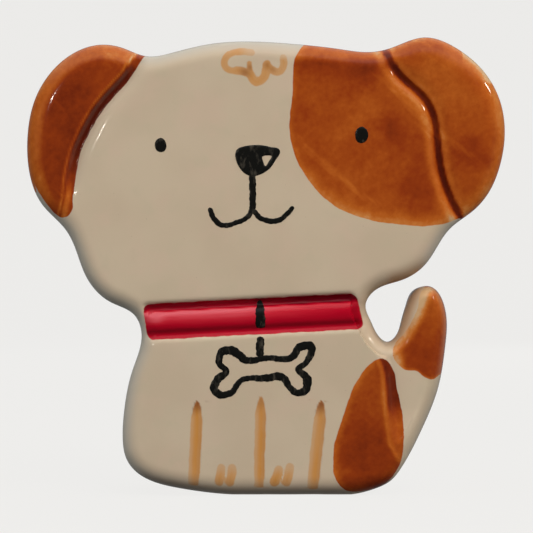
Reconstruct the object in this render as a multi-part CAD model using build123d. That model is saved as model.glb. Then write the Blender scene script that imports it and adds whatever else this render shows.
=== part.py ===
from build123d import *
import os

# Slim glazed-earthenware dog coin bank, standing on its base.
# X runs to the viewer's right, Z up, and the face of the dog looks toward -Y.
# The origin is the centre of the bounding box at table height.

# Overall slab
front = -24.7
back = 25.0
edge_round = 3.0

# Hollow casting
wall = 5.0
cavity_front = front + wall
cavity_back = back - wall
floor_top = 8.0

# Ear flaps lie on thinner ear cores
ear_flap_thickness = 7.0
ear_core_front = front + ear_flap_thickness
ear_cavity_front = ear_core_front + wall
ear_groove_radius = 2.2

# The tail stands back from the body
tail_step = 2.6

# Collar channel and collar
collar_centre = (-4.1, 54.5)
collar_length = 66.2
collar_height = 10.8
collar_tilt = 3.0
collar_depth = 3.2
collar_bar_height = 7.2
collar_web = 1.0

# Coin slot in the top edge of the head
slot_length = 36.0
slot_width = 5.0
slot_x = -3.0

# Base opening and its stopper
foot_recess = 3.0
foot_recess_length = 56.0
foot_recess_width = 37.0
hole_x = 0.0
hole_radius = 13.5
plug_clearance = 0.05
plug_length = 6.5
plug_wall = 2.4
flange_radius = 16.5
flange_thickness = 2.2

# Fired enamel drawing
enamel = 0.3
stroke = 2.0

# Outline of the slab as X, Z pairs, anticlockwise from the right end of the foot
body_right = [(26, 0), (33.5, 1.8), (38.2, 4.2), (41.6, 8.2), (48.3, 20.2), (53.0, 32.0), (55.4, 46.0)]
tail_tip = [
    (55.2, 57.0), (50.5, 63.7), (46.0, 62.6), (43.4, 58.6),
    (41.5, 52.3), (40.0, 48.4), (37.4, 46.6),
]
nape = [(34.8, 48.3), (32.2, 53.2), (30.6, 58.0), (33.2, 62.3), (41.5, 65.6), (48.6, 70.2), (56.2, 81.2)]
right_ear = [
    (63.5, 86.9), (68.0, 92.0), (71.8, 101.0), (73.22, 111.5),
    (71.3, 121.8), (66.4, 130.0), (59.5, 136.0), (48.3, 140.0),
]
head_top = [
    (37.8, 136.6), (32.0, 135.5), (22.5, 136.4), (7.8, 138.0),
    (-7.0, 138.7), (-18.0, 137.8), (-29.0, 135.2), (-36.6, 134.2),
]
left_ear = [
    (-44.0, 136.8), (-51.5, 137.7), (-58.4, 135.5), (-66.0, 129.2),
    (-71.0, 120.5), (-73.14, 109.5), (-72.4, 98.0), (-68.6, 88.8),
]
cheek = [(-61.2, 80.8), (-58.0, 74.2), (-55.2, 66.9), (-47.5, 58.8), (-40.4, 55.0), (-38.2, 50.0)]
body_left = [
    (-40.9, 38.0), (-43.4, 26.0), (-43.9, 17.0), (-42.8, 11.0),
    (-40.2, 7.3), (-35.0, 4.1), (-27.0, 2.0), (-18.5, 0.7),
]
foot_left = (-10, 0)

# Lines that part the ears and the tail from the head and body
left_ear_line = [
    (-35.0, 141.0), (-37.4, 134.0), (-48.4, 121.8), (-55.4, 110.4),
    (-58.8, 100.6), (-60.2, 88.7), (-62.4, 76.0),
]
right_ear_line = [
    (34.0, 143.0), (36.8, 133.7), (43.2, 125.5), (49.6, 118.1),
    (51.8, 108.0), (54.8, 93.0), (62.0, 78.0),
]
tail_line = [
    (35.0, 50.5), (33.2, 46.0), (35.4, 40.5), (37.4, 30.0),
    (39.4, 18.5), (44.1, 11.2), (52.0, 5.0),
]


def closed_sketch(points, low, high):
    # Smooth open curve through the points, closed by a straight run between its ends
    curve = Spline(points, tangents=[low, high], tangent_scalars=[1, 1])
    return make_face([curve, Line(curve @ 1, curve @ 0)])


def slab(sketch, y_low, y_high):
    # Solid with the sketch as its front view, between two depths
    return extrude(Plane.XZ.offset(-y_high) * sketch, amount=y_high - y_low)


def region(line, corners):
    # Area on one side of a parting line, closed through outlying corners
    curve = Spline(line)
    return make_face([curve, *Polyline([curve @ 1, *corners, curve @ 0]).edges()])


def save(shape, node):
    shape.label = node
    export_step(shape, "parts/" + node + ".step")


os.makedirs("parts", exist_ok=True)

# Solid slab with softened front and back edges
right_points = [*body_right, *tail_tip, *nape, *right_ear]
left_points = [*left_ear, *cheek, *body_left, foot_left]
outline_points = [*right_points, *head_top, *left_points]
silhouette = closed_sketch(outline_points, (1, 0), (1, 0))
blank = slab(silhouette, front, back)
face_edges = blank.edges().filter_by(Plane.XZ)
blank = fillet(face_edges, edge_round)

# Areas taken by the ears, the tail and the collar
left_ear_area = region(left_ear_line, [(-90, 76), (-90, 150), (-35, 150)])
right_ear_area = region(right_ear_line, [(90, 78), (90, 150), (34, 150)])
tail_area = region(tail_line, [(70, 6), (70, 67), (46, 66), (37, 58)])
collar_place = Location((collar_centre[0], 0, collar_centre[1]), (0, -collar_tilt, 0))

# Ear flaps: front layer of the slab outside each ear line
groove_left = Spline([(x, front - 0.2, z) for x, z in left_ear_line])
groove_right = Spline([(x, front - 0.2, z) for x, z in right_ear_line])
left_groove_start = Plane(groove_left @ 0, z_dir=groove_left % 0)
right_groove_start = Plane(groove_right @ 0, z_dir=groove_right % 0)
left_groove_cut = sweep(left_groove_start * Circle(ear_groove_radius), groove_left)
right_groove_cut = sweep(right_groove_start * Circle(ear_groove_radius), groove_right)
left_flap_zone = slab(left_ear_area, front - 1, ear_core_front)
right_flap_zone = slab(right_ear_area, front - 1, ear_core_front)
left_flap = (blank & left_flap_zone) - left_groove_cut
right_flap = (blank & right_flap_zone) - right_groove_cut

# Collar: low web filling the channel with a rounded bar standing on it
channel = Box(collar_length, collar_depth + 2, collar_height)
channel = collar_place * Pos(0, front + collar_depth / 2 - 1, 0) * channel
bar = Box(collar_length, collar_depth - 0.2, collar_bar_height)
bar = fillet(bar.edges().filter_by(Axis.X).group_by(Axis.Y)[0], 2.2)
bar = Pos(0, front + 0.2 + (collar_depth - 0.2) / 2, 0) * bar
web = Pos(0, front + collar_depth - collar_web / 2, 0) * Box(collar_length, collar_web, collar_height)
collar = (collar_place * (bar + web)) & blank

# Shell: slab less flaps, collar channel, grooves and tail step
shell = blank - left_flap_zone - right_flap_zone
shell = shell - left_groove_cut - right_groove_cut
shell = shell - channel
shell = shell - slab(tail_area, front - 1, front + tail_step)

# Hollow of head and body: outline taken inward by the wall, short of ears and tail
head_hollow = [
    (-14, 131.5), (8, 131.6), (30, 129.3), (38, 121.5), (45.5, 111),
    (47.4, 97), (50.2, 85), (43.5, 73), (33, 68.5),
]
neck_right = [(26.2, 62), (25.8, 54), (29.4, 40), (32.2, 27), (33.0, 16)]
neck_left = [
    (-36.5, 16), (-37.2, 26), (-35.0, 38), (-32.6, 50),
    (-36.0, 60), (-46.2, 67), (-52.5, 79), (-54.2, 92),
]
crown_left = [(-52.6, 102), (-47.6, 113), (-39, 124.5), (-29, 129.4)]
lower_right = [(31.5, 10.5), (26, floor_top)]
lower_left = [(-28, floor_top), (-34.6, 10.8)]
hollow_points = [*lower_left, *neck_left, *crown_left, *head_hollow, *neck_right, *lower_right]
hollow_curve = Spline(hollow_points, tangents=[(-1, 0), (-1, 0)], tangent_scalars=[1, 1])
hollow_area = make_face([hollow_curve, Line(hollow_curve @ 1, hollow_curve @ 0)])
hollow = slab(hollow_area, cavity_front, cavity_back)

# A thicker band of wall is kept behind the collar channel
collar_backing = collar_place * Pos(0, cavity_front + 1.5, 0) * Box(90, 3.02, collar_height + 6)
hollow = hollow - collar_backing

# Hollows of the ear cores open into the head
left_ear_hollow_points = [
    (-40, 100), (-62, 92), (-67.6, 107),
    (-63.5, 122), (-53, 131), (-40, 122),
]
left_ear_hollow_curve = Spline(left_ear_hollow_points, periodic=True)
right_ear_hollow_points = [
    (42, 100), (61.5, 92), (67.9, 110),
    (62.5, 127), (49.5, 134), (40, 122),
]
right_ear_hollow_curve = Spline(right_ear_hollow_points, periodic=True)
hollow = hollow + slab(make_face(left_ear_hollow_curve), ear_cavity_front, cavity_back)
hollow = hollow + slab(make_face(right_ear_hollow_curve), ear_cavity_front, cavity_back)
shell = shell - hollow

# Coin slot through the top of the head
slot = SlotOverall(slot_length, slot_width)
shell = shell - Pos(slot_x, 0, 120) * extrude(slot, amount=25)

# Foot recess and stopper hole
recess = SlotOverall(foot_recess_length, foot_recess_width)
shell = shell - Pos(hole_x, 0, -1) * extrude(recess, amount=foot_recess + 1)
shell = shell - Pos(hole_x, 0, -1) * extrude(Circle(hole_radius), amount=floor_top + 4)

# Stopper: flange under the seat, hollow plug through it, finger dimple beneath
plug_radius = hole_radius - plug_clearance
flange_bottom = foot_recess - flange_thickness
stopper = Pos(0, 0, flange_bottom) * extrude(Circle(flange_radius), amount=flange_thickness)
stopper = fillet(stopper.edges(), 0.6)
stopper = stopper + Pos(0, 0, foot_recess - 0.7) * extrude(Circle(plug_radius), amount=plug_length + 0.7)
stopper = chamfer(stopper.edges().sort_by(Axis.Z)[-1], 0.8)
plug_bore = extrude(Circle(plug_radius - plug_wall), amount=plug_length)
stopper = stopper - Pos(0, 0, foot_recess + 1) * plug_bore
stopper = stopper - Pos(0, 0, flange_bottom) * Cylinder(7, 1.6)
stopper = stopper + Pos(0, 0, flange_bottom + 0.45) * Box(15, 2.4, 0.9)
stopper = Pos(hole_x, 0, 0) * stopper

# Enamel drawing on the flat front
left_eye_shape = Pos(-32.2, 106.8) * Ellipse(1.8, 2.1)
right_eye_shape = Pos(29.1, 109.8) * Rot(0, 0, -12) * Ellipse(2.0, 2.5)
nose_points = [
    (-8.9, 105.5), (-7.4, 106.7), (-2.1, 106.8), (4.3, 105.2),
    (1.5, 99.6), (-3.4, 97.3), (-7.7, 99.4), (-9.5, 102.8),
]
nose_shape = make_face(Spline(nose_points, periodic=True))
lip_left = Spline([(-4.1, 87.3), (-6.6, 84.2), (-12.5, 82.7), (-15.3, 83.6), (-17.2, 87.8)])
lip_right = Spline([(-4.1, 87.3), (-1.0, 84.2), (2.6, 83.6), (6.0, 85.3), (8.3, 88.1)])
lip_stroke = 1.5
mouth_shape = trace(lip_left, lip_stroke) + trace(lip_right, lip_stroke)
mouth_shape = mouth_shape + trace(Line((-4.1, 97.2), (-4.1, 86.9)), 1.8)
bone_left = [
    (-7.0, 41.6), (-10.4, 44.3), (-13.6, 43.6), (-13.6, 39.2),
    (-11.8, 37.8), (-13.6, 36.2), (-15.9, 32.9),
]
bone_low = [(-12.8, 30.5), (-8.6, 34.2), (-5.8, 35.7), (0, 35.8), (5.3, 35.9), (8.0, 32.0), (12.3, 32.3)]
bone_right = [(12.6, 35.8), (9.9, 38.4), (12.2, 40.4), (14.1, 45.4), (10.6, 45.6), (7.2, 41.8)]
bone_outline = Spline([(0, 41.8), *bone_left, *bone_low, *bone_right], periodic=True)
bone_shape = trace(bone_outline, stroke) + Pos(-1.8, 45.2) * Rectangle(2.2, 6.4)

left_eye = slab(left_eye_shape, front - enamel, front)
right_eye = slab(right_eye_shape, front - enamel, front)
nose = slab(nose_shape, front - enamel, front)
mouth_line = slab(mouth_shape, front - enamel, front)
bone_tag = slab(bone_shape, front - enamel, front)

save(shell, "ceramic_shell")
save(left_flap, "left_ear")
save(right_flap, "right_ear")
save(collar, "collar")
save(left_eye, "left_eye")
save(right_eye, "right_eye")
save(nose, "nose")
save(mouth_line, "mouth_line")
save(bone_tag, "bone_tag")
save(stopper, "stopper")
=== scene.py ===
import math
import bmesh
import bpy
import numpy as np
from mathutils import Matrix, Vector
from mathutils.bvhtree import BVHTree
from mathutils.geometry import delaunay_2d_cdt


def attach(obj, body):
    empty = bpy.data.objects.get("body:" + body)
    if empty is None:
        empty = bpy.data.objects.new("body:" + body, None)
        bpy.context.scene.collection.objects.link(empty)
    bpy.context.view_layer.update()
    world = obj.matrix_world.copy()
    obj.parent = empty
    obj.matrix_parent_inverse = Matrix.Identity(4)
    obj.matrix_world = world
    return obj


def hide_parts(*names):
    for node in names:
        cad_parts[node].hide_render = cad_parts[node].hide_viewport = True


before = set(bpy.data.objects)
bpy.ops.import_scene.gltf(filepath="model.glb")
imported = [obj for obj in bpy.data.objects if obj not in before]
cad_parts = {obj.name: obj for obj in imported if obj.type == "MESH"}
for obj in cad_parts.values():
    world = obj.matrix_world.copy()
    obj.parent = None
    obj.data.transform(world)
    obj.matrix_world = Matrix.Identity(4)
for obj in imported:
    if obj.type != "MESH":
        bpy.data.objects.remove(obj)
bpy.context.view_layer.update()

# All shape numbers are in millimetres in the frame's axes; new_object() scales the meshes to metres.
MM = 0.001
FACE = -24.55
BACK = 24.95
EAR_SEAM = -17.7
COLLAR_SEAM = -21.5

# Spacing of the mesh: on the front, on plain faces, on the walls, and rows round each edge
FINE = 0.55
COARSE = 1.4
WALL_STEP = 0.7
RIM_ROWS = 10

# Hollow of the slip casting, wall about 5 mm
CAVITY_FRONT = -19.7
CAVITY_BACK = 20.0
EAR_CAVITY_FRONT = -12.7
EAR_CAVITY_BACK = 19.98
CAVITY_EDGE = 2.5

# Coin slot, foot recess and stopper hole
SLOT_LENGTH, SLOT_WIDTH, SLOT_X = 36.0, 5.0, -3.0
SLOT_LIP = 1.1
RECESS_LENGTH, RECESS_WIDTH, RECESS_DEPTH = 56.0, 37.0, 3.0
HOLE_RADIUS = 13.56
HOLE_SIDES = 72

# ------------------------ outline

body_right = [(26, 0), (33.5, 1.8), (38.2, 4.2), (41.6, 8.2), (48.3, 20.2), (53, 32), (55.4, 46)]
tail_tip = [(55.2, 57), (50.5, 63.7), (46, 62.6), (43.4, 58.6), (41.5, 52.3), (40, 48.4), (37.4, 46.6)]
nape = [(34.8, 48.3), (32.2, 53.2), (30.6, 58), (33.2, 62.3), (41.5, 65.6), (48.6, 70.2), (56.2, 81.2)]
right_ear_rim = [
    (63.5, 86.9), (68, 92), (71.8, 101), (73.2, 111.5), (71.3, 121.8), (66.4, 130), (59.5, 136),
    (48.3, 140)
]
head_top = [
    (37.8, 136.6), (32, 135.5), (22.5, 136.4), (7.8, 138), (-7, 138.7), (-18, 137.8), (-29, 135.2),
    (-36.6, 134.2)
]
left_ear_rim = [
    (-44, 136.8), (-51.5, 137.7), (-58.4, 135.5), (-66, 129.2), (-71, 120.5), (-73.1, 109.5), (-72.4, 98),
    (-68.6, 88.8)
]
cheek = [(-61.2, 80.8), (-58, 74.2), (-55.2, 66.9), (-47.5, 58.8), (-40.4, 55), (-38.2, 50)]
body_left = [
    (-40.9, 38), (-43.4, 26), (-43.9, 17), (-42.8, 11), (-40.2, 7.3), (-35, 4.1), (-27, 2), (-18.5, 0.7),
    (-10, 0), (-2, 0), (8, 0), (18, 0)
]
outline_points = [*body_right, *tail_tip, *nape, *right_ear_rim, *head_top, *left_ear_rim, *cheek, *body_left]

# Lines that part the ears and the tail from the head and body
left_ear_line = [
    (-35, 136), (-37.6, 133.2), (-41.8, 127.4), (-48.1, 120.4), (-51.9, 115.2), (-54.7, 109.9),
    (-56.8, 105.2), (-58.1, 100.6), (-58.9, 96), (-59.6, 89.6), (-61.4, 83), (-63.5, 76)
]
right_ear_line = [
    (34, 140), (36.6, 134.2), (38.9, 130), (43.2, 125.4), (47.2, 121.8), (49.8, 118.1), (51.2, 113.5),
    (51.9, 108), (52.8, 100.3), (54.9, 93), (57.2, 87.8), (61, 81)
]
tail_line = [
    (31.5, 60.5), (29.8, 57), (29.2, 53), (30.6, 48.6), (33.4, 44.2), (35.5, 40.6), (37, 31), (37.9, 22),
    (39.2, 15.5), (42.5, 10.5), (50, 3)
]


def smooth_line(points, step, closed=False):
    """Cubic curve through the points, given back as points about step apart."""
    p = np.array(points, float)
    n = len(p)
    if closed:
        p = np.vstack([p[-5:], p, p[:6]])
    t = np.concatenate([[0], np.cumsum(np.hypot(*np.diff(p, axis=0).T))])
    h = np.diff(t)
    m = len(p)
    a = np.zeros((m, m))
    b = np.zeros((m, 2))
    a[0, 0] = a[-1, -1] = 1
    for i in range(1, m - 1):
        a[i, i - 1:i + 2] = h[i - 1], 2 * (h[i - 1] + h[i]), h[i]
        b[i] = 6 * ((p[i + 1] - p[i]) / h[i] - (p[i] - p[i - 1]) / h[i - 1])
    bend = np.linalg.solve(a, b)
    first, last = (t[5], t[5 + n]) if closed else (0, t[-1])
    s = np.linspace(first, last, max(4, int(round((last - first) / step))) + 1)
    if closed:
        s = s[:-1]
    i = np.clip(np.searchsorted(t, s, "right") - 1, 0, m - 2)
    u, v, w = (t[i + 1] - s)[:, None], (s - t[i])[:, None], h[i][:, None]
    return (bend[i] * u ** 3 + bend[i + 1] * v ** 3) / (6 * w) + (p[i] / w - bend[i] * w / 6) * u \
        + (p[i + 1] / w - bend[i + 1] * w / 6) * v


def directions(loop):
    """Unit directions along a closed loop, and the directions to their left."""
    along = np.roll(loop, -1, axis=0) - np.roll(loop, 1, axis=0)
    along /= np.hypot(*along.T)[:, None]
    return along, np.stack([-along[:, 1], along[:, 0]], 1)


def distance(p, line, closed=False):
    """Distance from each point to a polyline, and which side it is on (+1 left of its direction)."""
    a, b = line, np.roll(line, -1, axis=0)
    if not closed:
        a, b = a[:-1], b[:-1]
    ab = b - a
    length2 = (ab ** 2).sum(1)
    best = np.empty(len(p))
    side = np.empty(len(p))
    for c in range(0, len(p), 4000):
        q = p[c:c + 4000, None] - a[None]
        u = np.clip((q * ab).sum(2) / length2, 0, 1)
        d = q - u[..., None] * ab
        d2 = (d ** 2).sum(2)
        k = d2.argmin(1)
        r = np.arange(len(k))
        best[c:c + 4000] = np.sqrt(d2[r, k])
        side[c:c + 4000] = np.sign(ab[k, 0] * q[r, k, 1] - ab[k, 1] * q[r, k, 0])
    return best, side


def inside(p, loop):
    """Whether each point lies inside a closed polyline."""
    a, b = loop, np.roll(loop, -1, axis=0)
    found = np.zeros(len(p), bool)
    for c in range(0, len(p), 4000):
        x, z = p[c:c + 4000, 0, None], p[c:c + 4000, 1, None]
        crosses = (a[:, 1] > z) != (b[:, 1] > z)
        with np.errstate(divide="ignore", invalid="ignore"):
            at = a[:, 0] + (z - a[:, 1]) * (b[:, 0] - a[:, 0]) / (b[:, 1] - a[:, 1])
        found[c:c + 4000] = (crosses & (x < at)).sum(1) % 2 == 1
    return found


def depth_in(p, loop):
    """Distance inside a closed loop, negative outside."""
    d, _ = distance(p, loop, closed=True)
    return np.where(inside(p, loop), d, -d)


def step(x, low, high):
    """Smooth rise from 0 at low to 1 at high."""
    t = np.clip((x - low) / (high - low), 0, 1)
    return t * t * (3 - 2 * t)


outline = smooth_line(outline_points, WALL_STEP, closed=True)
outline[:, 1] = np.maximum(outline[:, 1], 0)
ear_left = smooth_line(left_ear_line, 1.0)
ear_right = smooth_line(right_ear_line, 1.0)
tail_edge = smooth_line(tail_line, 1.0)

# ------------------------ relief of the front

COLLAR_AT = np.array([-4.1, 54.5])
COLLAR_TILT = math.radians(3.0)
COLLAR_LENGTH = 66.2


def collar_uv(p):
    """Places along and across the tilted collar, from its middle."""
    q = p - COLLAR_AT
    c, s = math.cos(COLLAR_TILT), math.sin(COLLAR_TILT)
    return q[:, 0] * c + q[:, 1] * s, -q[:, 0] * s + q[:, 1] * c


def ear_sides(p):
    """Signed distance into each ear from its parting line."""
    dl, sl = distance(p, ear_left)
    dr, sr = distance(p, ear_right)
    dl = dl * -sl
    dr = dr * sr
    dl = np.where(p[:, 0] < -30, dl, -50)
    dr = np.where(p[:, 0] > 30, dr, -50)
    return np.where(p[:, 1] > 74, dl, -50), np.where(p[:, 1] > 76, dr, -50)


def tail_side(p):
    """Signed distance into the tail from the edge of the body, and far outside it on the head."""
    d, s = distance(p, tail_edge)
    head = p[:, 1] > np.minimum(60 + 0.5 * (p[:, 0] - 33), 66.5)
    d = np.where((p[:, 0] > 42) & (p[:, 1] > 40), 20, d * s)
    return np.where(head | (p[:, 0] < 20), -50, d)


def profile(x, knots):
    """A smooth curve through (distance, depth) knots, read at x."""
    curve = smooth_line(knots, 0.05)
    return np.interp(x, curve[:, 0], curve[:, 1])


def levels(p):
    """How far each place on the front stands back as a whole, in mm."""
    d = tail_side(p)
    fade = 0.2 + 0.8 * step(p[:, 1], 11, 27)
    tail = 2.5 * fade * step(d, -0.7, 2.5)
    left, right = ear_sides(p)
    ears = 0.1 * step(left, 0, 3) + 0.35 * step(right, 2, 9)
    return tail + ears


# Sections as (distance across, depth)
left_groove = [
    (-8, 0), (-5, 0.05), (-3.4, 0.3), (-2, 0.85), (-1, 1.6), (0, 2.2), (0.7, 2.1), (1.6, 1.2), (2.3, 0.35),
    (3, -0.1), (4.2, -0.04), (6, 0)
]
right_groove = [
    (-6, 0), (-4.2, 0.05), (-2.6, 0.3), (-1.6, 0.75), (-1, 1.3), (-0.5, 2.1), (0.3, 2.5), (1, 2.15),
    (1.5, 1.55), (2.4, 1.2), (4, 0.75), (7, 0.25), (11, 0)
]
collar_cross = [
    (-7.4, 0), (-6.6, 0.03), (-5.9, 0.2), (-5.2, 0.7), (-4.6, 1.15), (-4.1, 1.3), (-3.5, 1.15), (-2.9, 0.8),
    (-1.8, 0.4), (0, 0.2), (1.2, 0.36), (2.2, 0.8), (3, 1.5), (3.6, 1.95), (4.2, 2.05), (4.8, 1.7),
    (5.4, 0.9), (6, 0.25), (6.8, 0.03), (7.4, 0)
]


def grooves(p):
    """Depth of the grooves beside the ears and of the collar's recess, in mm."""
    left, right = ear_sides(p)
    cut_l = profile(np.clip(left, -8, 6), left_groove) * step(p[:, 1], 86, 104)
    cut_r = profile(np.clip(right, -6, 11), right_groove) * (1 - 0.88 * step(p[:, 1], 126, 134.5))
    u, v = collar_uv(p)
    half = COLLAR_LENGTH / 2
    across = profile(np.clip(v, -7.4, 7.4), collar_cross)
    right_end = half - 0.2 * (v + 1.5) - u
    end = step(right_end, -0.9, 2.6) * step(u + half, -1.0, 2.2)
    notch = 0.8 * np.exp(-((u - half + 1.6) ** 2 + (v + 0.4) ** 2) / 1.2)
    return cut_l + cut_r + (across + notch) * end


def front_y(p):
    """Depth of the ceramic's front surface away from its rounded rim."""
    return FACE + levels(p) + grooves(p)


# ------------------------ the slab as one skin


def filled(loop, spacing, holes=()):
    """Triangles over the inside of a loop: the points, how many of them are the loop's, and the triangles."""
    lo, hi = loop.min(0), loop.max(0)
    g = np.meshgrid(np.arange(lo[0], hi[0], spacing), np.arange(lo[1], hi[1], spacing))
    g = np.stack(g, -1).reshape(-1, 2)
    keep = inside(g, loop) & (distance(g, loop, closed=True)[0] > spacing * 0.6)
    for hole in holes:
        keep &= ~inside(g, hole) & (distance(g, hole, closed=True)[0] > spacing * 0.6)
    rims = [loop, *holes]
    fixed = np.vstack(rims)
    starts = np.cumsum([0] + [len(r) for r in rims])
    areas = [list(range(starts[i], starts[i + 1])) for i in range(len(rims))]
    points = np.vstack([fixed, g[keep]])
    out, _, tris, orig, _, _ = delaunay_2d_cdt([Vector(p) for p in points], [], areas, 1, 1e-7)
    xz = np.array([tuple(v) for v in out])
    which = np.array([o[0] if len(o) else -1 for o in orig])
    t = np.array([list(f) for f in tris])
    for hole in holes:
        t = t[~inside(xz[t].mean(1), hole)]
    e, f = xz[t[:, 1]] - xz[t[:, 0]], xz[t[:, 2]] - xz[t[:, 0]]
    area = e[:, 0] * f[:, 1] - e[:, 1] * f[:, 0]
    t = np.where((area > 0)[:, None], t, t[:, ::-1])
    return xz, which, len(loop), t


class Rings:
    """A closed body made of rings of points from front to back, with a filled cap at each end."""

    def __init__(self):
        self.verts, self.rings = [], []

    def add(self, points):
        start = sum(len(v) for v in self.verts)
        self.verts.append(points)
        return start + np.arange(len(points))

    def ring(self, flat, y):
        y = y * np.ones(len(flat))
        self.rings.append(self.add(np.stack([flat[:, 0], y, flat[:, 1]], 1)))

    def walls(self):
        pairs = zip(self.rings, self.rings[1:])
        return np.vstack([np.stack([a, b, np.roll(b, -1), np.roll(a, -1)], 1) for a, b in pairs])

    def cap(self, which_ring, loop, spacing, height):
        """Fill the loop of the first or last ring with a surface at the given depths."""
        ring = self.rings[which_ring]
        xz, which, m, t = filled(loop, spacing)
        ids = np.empty(len(xz), int)
        ids[which < m] = ring[which[which < m]]
        extra = which >= m
        ids[extra] = self.add(np.stack([xz[extra, 0], height(xz[extra]), xz[extra, 1]], 1))
        t = ids[t]
        return t[:, ::-1] if which_ring else t


def make_skin():
    """Vertices and faces of the closed outer skin: front, rounded rims, side wall and back."""
    along, inward = directions(outline)
    left, right = ear_sides(outline)
    on_tail = step(tail_side(outline), -2, 4)
    on_ear = np.maximum(step(left, 0, 8), 0.8 * step(right, 0, 8))
    low = step(-outline[:, 1], -9, -1)
    kernel = np.ones(25) / 25

    def even(x):
        return np.convolve(np.concatenate([x[-12:], x, x[:12]]), kernel, "valid")

    ahead = np.roll(along, -1, axis=0)
    turn = even(np.arcsin(along[:, 0] * ahead[:, 1] - along[:, 1] * ahead[:, 0])) / WALL_STEP
    tightest = np.max([np.roll(turn, k) for k in range(-9, 10)], axis=0)
    tip = on_tail * step(outline[:, 1], 46, 56)
    wanted = 5.2 - 0.6 * on_tail - 1.2 * tip + 2.4 * on_ear + 0.4 * low
    rim = even(np.minimum(wanted, 0.72 / np.maximum(tightest, 0.01)))
    roll = even(4.8 + 5.0 * on_tail + 0.4 * on_ear)
    level = levels(outline)
    body = Rings()
    turns = [k / RIM_ROWS * math.pi / 2 for k in range(RIM_ROWS + 1)]
    for a in reversed(turns):
        flat = outline + inward * (rim * (1 - math.cos(a)))[:, None]
        y = FACE + level + roll * (1 - math.sin(a))
        y = y + grooves(flat) * math.sin(a) ** 2 * step(rim * (1 - math.cos(a)), -0.5, 2.5)
        body.ring(flat, y)
    inner_front = outline + inward * rim[:, None]
    x, z = outline.T
    draft = even(1.7 * step(x, 31, 36) * (1 - step(x, 45, 49)) * step(z, 44, 46) * (1 - step(z, 60, 65)))
    start_y = FACE + level + roll
    end_y = BACK - roll
    ear = step(np.maximum(left, right), 0.5, 2.0)
    ear_rows = (-18.6, -18.1, -17.85, EAR_SEAM, -17.55, -17.3, -16.6)
    mould_rows = (-1.3, -0.5, 0, 0.5, 1.3)
    for y0 in (*ear_rows, -11, -5, *mould_rows, 6, 12, 17.5):
        y = np.clip(y0, start_y + 0.02, end_y - 0.02)
        ear_seam = 0.32 * ear * np.exp(-((y - EAR_SEAM) / 0.28) ** 2)
        mould_seam = 0.07 * math.exp(-((abs(y0) - 0.5) / 0.2) ** 2)
        dent = ear_seam + mould_seam + draft * step(y0, -17, 20)
        flat = outline + inward * dent[:, None]
        flat[:, 1] = np.maximum(flat[:, 1], 0)
        body.ring(flat, y)
    for a in turns:
        flat = outline + inward * (rim * (1 - math.cos(a)) + draft)[:, None]
        body.ring(flat, BACK - roll * (1 - math.sin(a)))
    walls = body.walls()
    inner_back = inner_front + inward * draft[:, None]
    front = body.cap(0, inner_front, FINE, front_y)
    rear = body.cap(-1, inner_back, COARSE, lambda p: np.full(len(p), BACK))
    return np.vstack(body.verts), [*walls, *front, *rear]


def new_object(name, verts, faces):
    mesh = bpy.data.meshes.new(name)
    mesh.from_pydata((np.asarray(verts) * MM).tolist(), [], [list(map(int, f)) for f in faces])
    mesh.validate()
    mesh.update()
    mesh.shade_smooth()
    obj = bpy.data.objects.new(name, mesh)
    bpy.context.scene.collection.objects.link(obj)
    return obj


def slab_body(name, loop, y_front, y_back, edge, spacing):
    """Closed body with the loop as its front view and edges rounded to the given radius."""
    _, inward = directions(loop)
    before = np.roll(loop, 1, axis=0)
    if ((loop - before)[:, 0] * (loop + before)[:, 1]).sum() > 0:
        inward = -inward
    body = Rings()
    turns = [i / 4 * math.pi / 2 for i in range(5)] if edge else [0]
    places = [(edge * (1 - math.cos(a)), y_front + edge * (1 - math.sin(a))) for a in reversed(turns)]
    places += [(edge * (1 - math.cos(a)), y_back - edge * (1 - math.sin(a))) for a in turns]
    for inset, y in places:
        body.ring(loop + inward * inset, y)
    walls = body.walls()
    flat = loop + inward * places[0][0]
    front = body.cap(0, flat, spacing, lambda p: np.full(len(p), y_front))
    rear = body.cap(-1, flat, spacing, lambda p: np.full(len(p), y_back))
    return facing_out(new_object(name, np.vstack(body.verts), [*walls, *front, *rear]))


def strips(rows, m, last):
    """Quads between rows of m points each, up to the last point or round to the first."""
    return [(r * m + i, r * m + (i + 1) % m, (r + 1) * m + (i + 1) % m, (r + 1) * m + i)
            for r in range(rows - 1) for i in range(last)]


def column(name, rings):
    """Closed body through rings of points that have the same count, with a fan over each end."""
    m = len(rings[0])
    verts = np.vstack([*rings, rings[0].mean(0)[None], rings[-1].mean(0)[None]])
    faces = strips(len(rings), m, m)
    low, high, top = len(verts) - 2, len(verts) - 1, (len(rings) - 1) * m
    for i in range(m):
        j = (i + 1) % m
        faces.append((low, j, i))
        faces.append((high, top + i, top + j))
    return facing_out(new_object(name, verts, faces))


def facing_out(obj):
    """Turn every face of the object outward."""
    bm = bmesh.new()
    bm.from_mesh(obj.data)
    bmesh.ops.recalc_face_normals(bm, faces=bm.faces)
    bm.to_mesh(obj.data)
    bm.free()
    return obj


def copy_of(obj, name):
    twin = bpy.data.objects.new(name, obj.data.copy())
    bpy.context.scene.collection.objects.link(twin)
    return twin


def carve(obj, tool, operation="DIFFERENCE"):
    """Take the tool out of the object, or keep only what they share."""
    cut = obj.modifiers.new("cut", "BOOLEAN")
    cut.solver = "MANIFOLD"
    cut.operation = operation
    cut.object = tool
    result = bpy.data.meshes.new_from_object(obj.evaluated_get(bpy.context.evaluated_depsgraph_get()))
    obj.modifiers.remove(cut)
    if len(result.polygons) == len(obj.data.polygons):
        raise ValueError("nothing was cut from " + obj.name + " by " + tool.name)
    obj.data = result


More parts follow.
